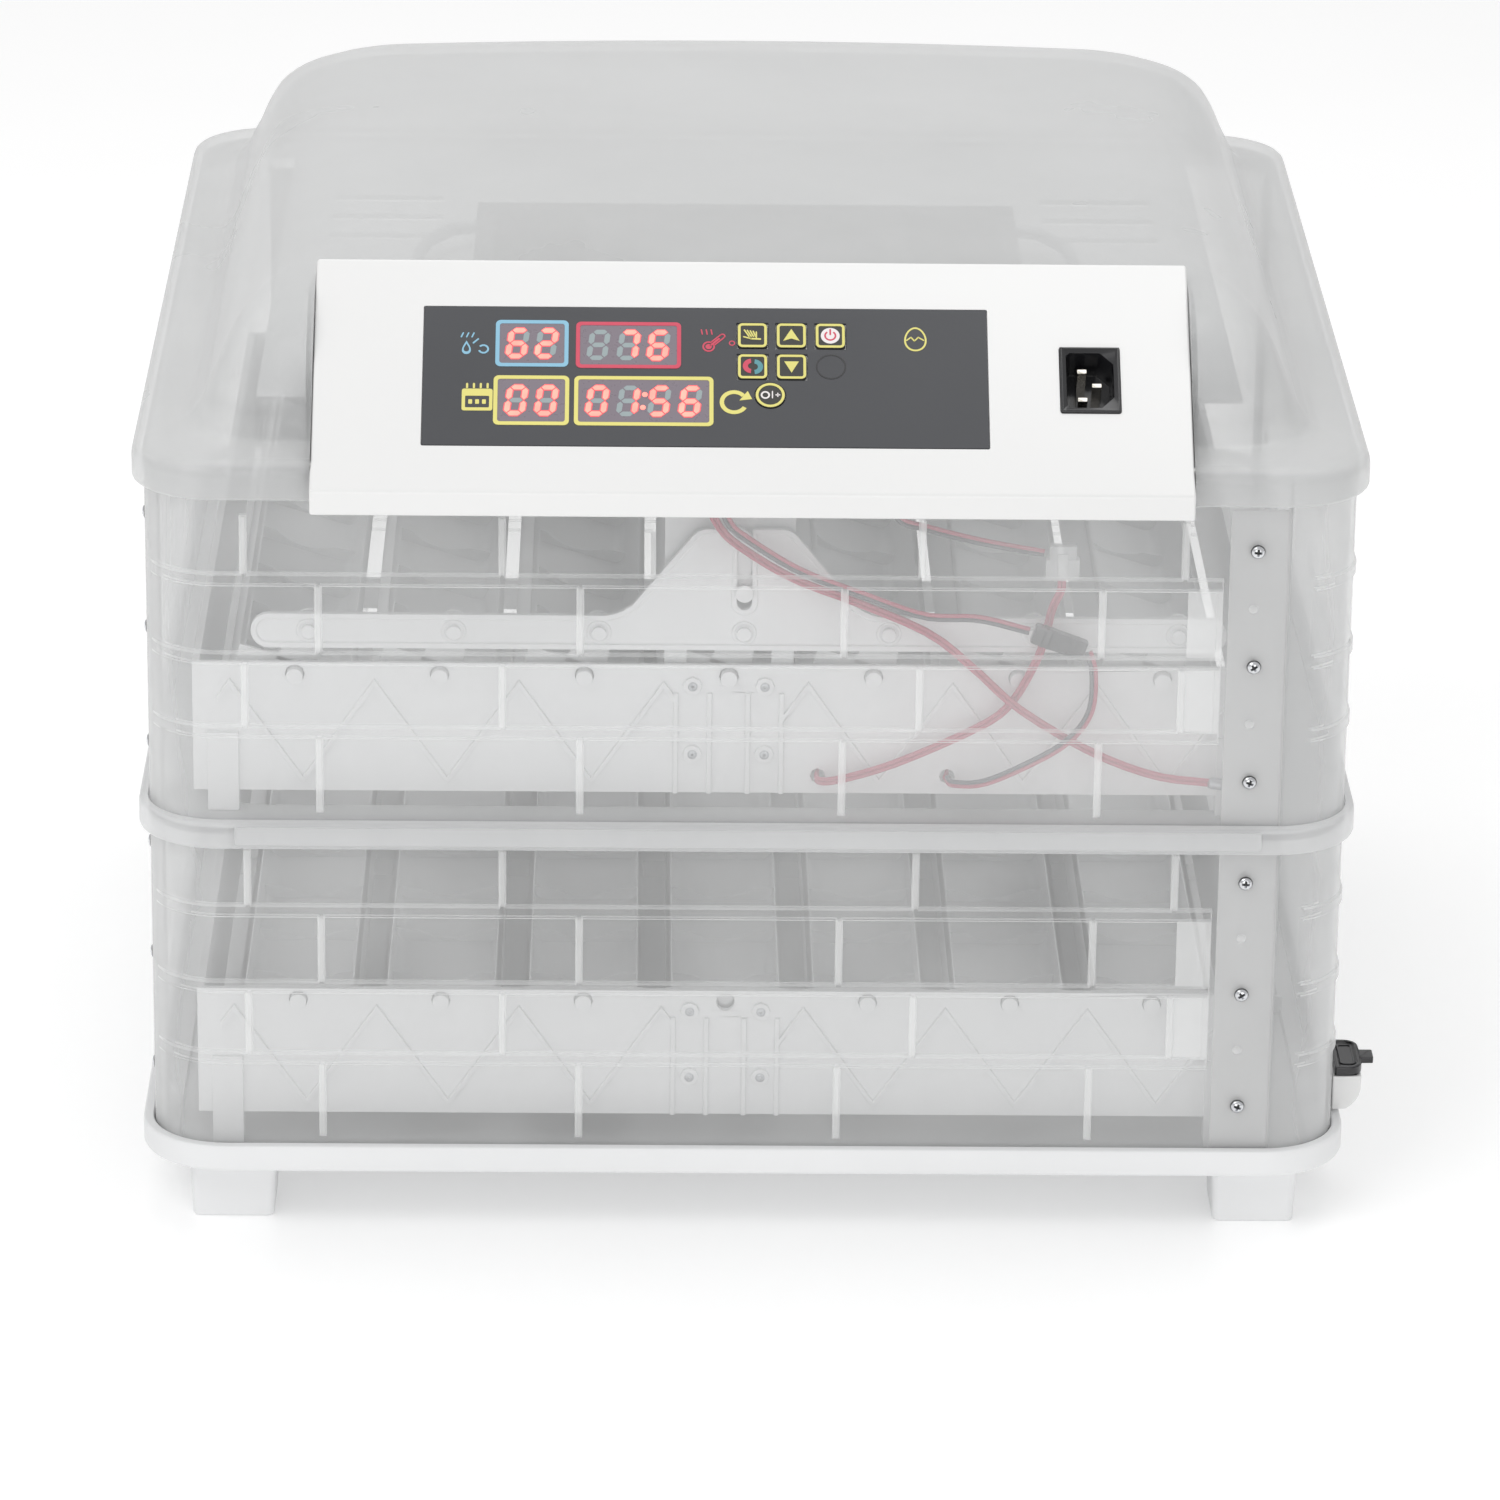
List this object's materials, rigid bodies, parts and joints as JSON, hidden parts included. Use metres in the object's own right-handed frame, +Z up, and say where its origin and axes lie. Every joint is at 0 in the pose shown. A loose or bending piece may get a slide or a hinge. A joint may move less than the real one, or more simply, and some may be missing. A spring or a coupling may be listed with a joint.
{
  "type": "egg incubator",
  "caption": "Two-tier clear egg incubator with a domed lid, a sloping control box with display and keys, a water spout, and rocking egg channels linked by a crank-driven bar in each tier.",
  "frame": {"origin": "middle of the outer box, on the surface the feet stand on", "axes": "+Z up, +X to the right seen from the control box side, +Y towards the back; the control box faces -Y"},
  "size_m": [0.5246, 0.522, 0.406],
  "materials": {
    "base_plastic": "opaque white, satin",
    "clear_plastic": "clear, slightly cloudy polypropylene",
    "milky_plastic": "milky translucent polypropylene",
    "white_plastic": "white, satin",
    "turner_plastic": "white, satin",
    "gloss_white": "bright white, glossy",
    "fan_plastic": "black, matt",
    "black_plastic": "black, semi-gloss",
    "overlay": "dark grey printed film",
    "key_film": "dark grey film with yellow outline",
    "brass_pins": "plated",
    "bright_steel": "bright",
    "wire": "red and black insulated wire pair"
  },
  "bodies": {
    "base": {"base_pan": "base_plastic", "foot_front_left": "base_plastic", "foot_front_right": "base_plastic", "foot_back_left": "base_plastic", "foot_back_right": "base_plastic", "lower_wall_front": "clear_plastic", "lower_wall_right": "clear_plastic", "lower_wall_back": "clear_plastic", "lower_wall_left": "clear_plastic", "lower_tray_frame": "turner_plastic", "water_spout": "gloss_white"},
    "upper_tier": {"middle_frame": "milky_plastic", "upper_wall_front": "clear_plastic", "upper_wall_right": "clear_plastic", "upper_wall_back": "clear_plastic", "upper_wall_left": "clear_plastic", "upper_tray_frame": "turner_plastic", "motor_bracket": "turner_plastic", "turner_motor": "bright_steel", "tier_lead": "wire", "turner_lead": "wire", "black_connector": "black_plastic"},
    "lid": {"lid_shell": "milky_plastic", "lid_inner_plate": "white_plastic", "fan_frame": "fan_plastic", "heater_element": "bright_steel", "control_box_cover": "gloss_white", "control_box_base": "white_plastic", "display_overlay": "overlay", "power_inlet": "black_plastic", "inlet_pins": "brass_pins", "motor_lead": "wire", "probe_lead": "wire", "fan_lead": "wire", "clear_connector": "clear_plastic"},
    "fan": {"fan_rotor": "fan_plastic"},
    "spout_flap": {"spout_cap": "black_plastic"},
    "lower_bar": {"lower_drive_bar": "turner_plastic"},
    "upper_bar": {"upper_drive_bar": "turner_plastic"},
    "crank": {"turner_crank": "turner_plastic"},
    "key_turn_body": {"key_turn": "key_film"},
    "key_up_body": {"key_up": "key_film"},
    "key_power_body": {"key_power": "key_film"},
    "key_mode_body": {"key_mode": "key_film"},
    "key_down_body": {"key_down": "key_film"},
    "key_set_body": {"key_set": "key_film"},
    "upper_rocker_1_body": {"upper_rocker_1": "turner_plastic"},
    "upper_rocker_2_body": {"upper_rocker_2": "turner_plastic"},
    "upper_rocker_3_body": {"upper_rocker_3": "turner_plastic"},
    "upper_rocker_4_body": {"upper_rocker_4": "turner_plastic"},
    "upper_rocker_5_body": {"upper_rocker_5": "turner_plastic"},
    "upper_rocker_6_body": {"upper_rocker_6": "turner_plastic"},
    "upper_rocker_7_body": {"upper_rocker_7": "turner_plastic"},
    "lower_rocker_1_body": {"lower_rocker_1": "turner_plastic"},
    "lower_rocker_2_body": {"lower_rocker_2": "turner_plastic"},
    "lower_rocker_3_body": {"lower_rocker_3": "turner_plastic"},
    "lower_rocker_4_body": {"lower_rocker_4": "turner_plastic"},
    "lower_rocker_5_body": {"lower_rocker_5": "turner_plastic"},
    "lower_rocker_6_body": {"lower_rocker_6": "turner_plastic"},
    "lower_rocker_7_body": {"lower_rocker_7": "turner_plastic"}
  },
  "joints": [
    {"name": "upper_tier_lift", "type": "slide", "parent": "base", "child": "upper_tier", "axis": [0, 0, 1], "range_m": [0, 0.18]},
    {"name": "lid_lift", "type": "slide", "parent": "upper_tier", "child": "lid", "axis": [0, 0, 1], "range_m": [0, 0.15]},
    {"name": "fan_spin", "type": "hinge", "parent": "lid", "child": "fan", "pos_m": [-0.00725, -0.032, 0.358], "axis": [0, 0, 1], "continuous": true},
    {"name": "spout_cap_hinge", "type": "hinge", "parent": "base", "child": "spout_flap", "pos_m": [0.24615, -0.1905, 0.0586], "axis": [0, -1, 0], "range_deg": [0, 90]},
    {"name": "key_turn_press", "type": "slide", "parent": "lid", "child": "key_turn_body", "axis": [0, 0.6093, -0.7929], "range_m": [0, 0.0006], "stiffness_N_per_m": 300},
    {"name": "key_up_press", "type": "slide", "parent": "lid", "child": "key_up_body", "axis": [0, 0.6093, -0.7929], "range_m": [0, 0.0006], "stiffness_N_per_m": 300},
    {"name": "key_power_press", "type": "slide", "parent": "lid", "child": "key_power_body", "axis": [0, 0.6093, -0.7929], "range_m": [0, 0.0006], "stiffness_N_per_m": 300},
    {"name": "key_mode_press", "type": "slide", "parent": "lid", "child": "key_mode_body", "axis": [0, 0.6093, -0.7929], "range_m": [0, 0.0006], "stiffness_N_per_m": 300},
    {"name": "key_down_press", "type": "slide", "parent": "lid", "child": "key_down_body", "axis": [0, 0.6093, -0.7929], "range_m": [0, 0.0006], "stiffness_N_per_m": 300},
    {"name": "key_set_press", "type": "slide", "parent": "lid", "child": "key_set_body", "axis": [0, 0.6093, -0.7929], "range_m": [0, 0.0006], "stiffness_N_per_m": 300},
    {"name": "upper_rocker_1_turn", "type": "hinge", "parent": "upper_tier", "child": "upper_rocker_1_body", "pos_m": [-0.19565, 0.006, 0.2413], "axis": [0, 1, 0], "range_deg": [-57, 23]},
    {"name": "upper_rocker_2_turn", "type": "hinge", "parent": "upper_tier", "child": "upper_rocker_2_body", "pos_m": [-0.13565, 0.006, 0.2413], "axis": [0, 1, 0], "range_deg": [-57, 23]},
    {"name": "upper_rocker_3_turn", "type": "hinge", "parent": "upper_tier", "child": "upper_rocker_3_body", "pos_m": [-0.07565, 0.006, 0.2413], "axis": [0, 1, 0], "range_deg": [-57, 23]},
    {"name": "upper_rocker_4_turn", "type": "hinge", "parent": "upper_tier", "child": "upper_rocker_4_body", "pos_m": [-0.01565, 0.006, 0.2413], "axis": [0, 1, 0], "range_deg": [-57, 23]},
    {"name": "upper_rocker_5_turn", "type": "hinge", "parent": "upper_tier", "child": "upper_rocker_5_body", "pos_m": [0.04435, 0.006, 0.2413], "axis": [0, 1, 0], "range_deg": [-57, 23]},
    {"name": "upper_rocker_6_turn", "type": "hinge", "parent": "upper_tier", "child": "upper_rocker_6_body", "pos_m": [0.10435, 0.006, 0.2413], "axis": [0, 1, 0], "range_deg": [-57, 23]},
    {"name": "upper_rocker_7_turn", "type": "hinge", "parent": "upper_tier", "child": "upper_rocker_7_body", "pos_m": [0.16435, 0.006, 0.2413], "axis": [0, 1, 0], "range_deg": [-57, 23]},
    {"name": "upper_bar_swing", "type": "hinge", "parent": "upper_rocker_4_body", "child": "upper_bar", "pos_m": [-0.00963, -0.2235, 0.261], "axis": [0, 1, 0], "range_deg": [-23, 57]},
    {"name": "lower_rocker_1_turn", "type": "hinge", "parent": "base", "child": "lower_rocker_1_body", "pos_m": [-0.19565, 0.006, 0.0953], "axis": [0, 1, 0], "range_deg": [-40, 40]},
    {"name": "lower_rocker_2_turn", "type": "hinge", "parent": "base", "child": "lower_rocker_2_body", "pos_m": [-0.13565, 0.006, 0.0953], "axis": [0, 1, 0], "range_deg": [-40, 40]},
    {"name": "lower_rocker_3_turn", "type": "hinge", "parent": "base", "child": "lower_rocker_3_body", "pos_m": [-0.07565, 0.006, 0.0953], "axis": [0, 1, 0], "range_deg": [-40, 40]},
    {"name": "lower_rocker_4_turn", "type": "hinge", "parent": "base", "child": "lower_rocker_4_body", "pos_m": [-0.01565, 0.006, 0.0953], "axis": [0, 1, 0], "range_deg": [-40, 40]},
    {"name": "lower_rocker_5_turn", "type": "hinge", "parent": "base", "child": "lower_rocker_5_body", "pos_m": [0.04435, 0.006, 0.0953], "axis": [0, 1, 0], "range_deg": [-40, 40]},
    {"name": "lower_rocker_6_turn", "type": "hinge", "parent": "base", "child": "lower_rocker_6_body", "pos_m": [0.10435, 0.006, 0.0953], "axis": [0, 1, 0], "range_deg": [-40, 40]},
    {"name": "lower_rocker_7_turn", "type": "hinge", "parent": "base", "child": "lower_rocker_7_body", "pos_m": [0.16435, 0.006, 0.0953], "axis": [0, 1, 0], "range_deg": [-40, 40]},
    {"name": "lower_bar_swing", "type": "hinge", "parent": "lower_rocker_4_body", "child": "lower_bar", "pos_m": [-0.01565, 0.2355, 0.1159], "axis": [0, 1, 0], "range_deg": [-40, 40]},
    {"name": "crank_turn", "type": "hinge", "parent": "upper_tier", "child": "crank", "pos_m": [-0.01565, -0.22, 0.2948], "axis": [0, 1, 0], "range_deg": [-30, 74]}
  ],
  "couplings": [
    {"joint": "upper_rocker_1_turn", "follows": "upper_rocker_4_turn", "ratio": 1},
    {"joint": "upper_rocker_2_turn", "follows": "upper_rocker_4_turn", "ratio": 1},
    {"joint": "upper_rocker_3_turn", "follows": "upper_rocker_4_turn", "ratio": 1},
    {"joint": "upper_rocker_5_turn", "follows": "upper_rocker_4_turn", "ratio": 1},
    {"joint": "upper_rocker_6_turn", "follows": "upper_rocker_4_turn", "ratio": 1},
    {"joint": "upper_rocker_7_turn", "follows": "upper_rocker_4_turn", "ratio": 1},
    {"joint": "upper_bar_swing", "follows": "upper_rocker_4_turn", "ratio": -1},
    {"joint": "lower_rocker_1_turn", "follows": "lower_rocker_4_turn", "ratio": 1},
    {"joint": "lower_rocker_2_turn", "follows": "lower_rocker_4_turn", "ratio": 1},
    {"joint": "lower_rocker_3_turn", "follows": "lower_rocker_4_turn", "ratio": 1},
    {"joint": "lower_rocker_5_turn", "follows": "lower_rocker_4_turn", "ratio": 1},
    {"joint": "lower_rocker_6_turn", "follows": "lower_rocker_4_turn", "ratio": 1},
    {"joint": "lower_rocker_7_turn", "follows": "lower_rocker_4_turn", "ratio": 1},
    {"joint": "lower_bar_swing", "follows": "lower_rocker_4_turn", "ratio": -1},
    {"joint": "crank_turn", "follows": "upper_rocker_4_turn", "ratio": -1.28}
  ]
}
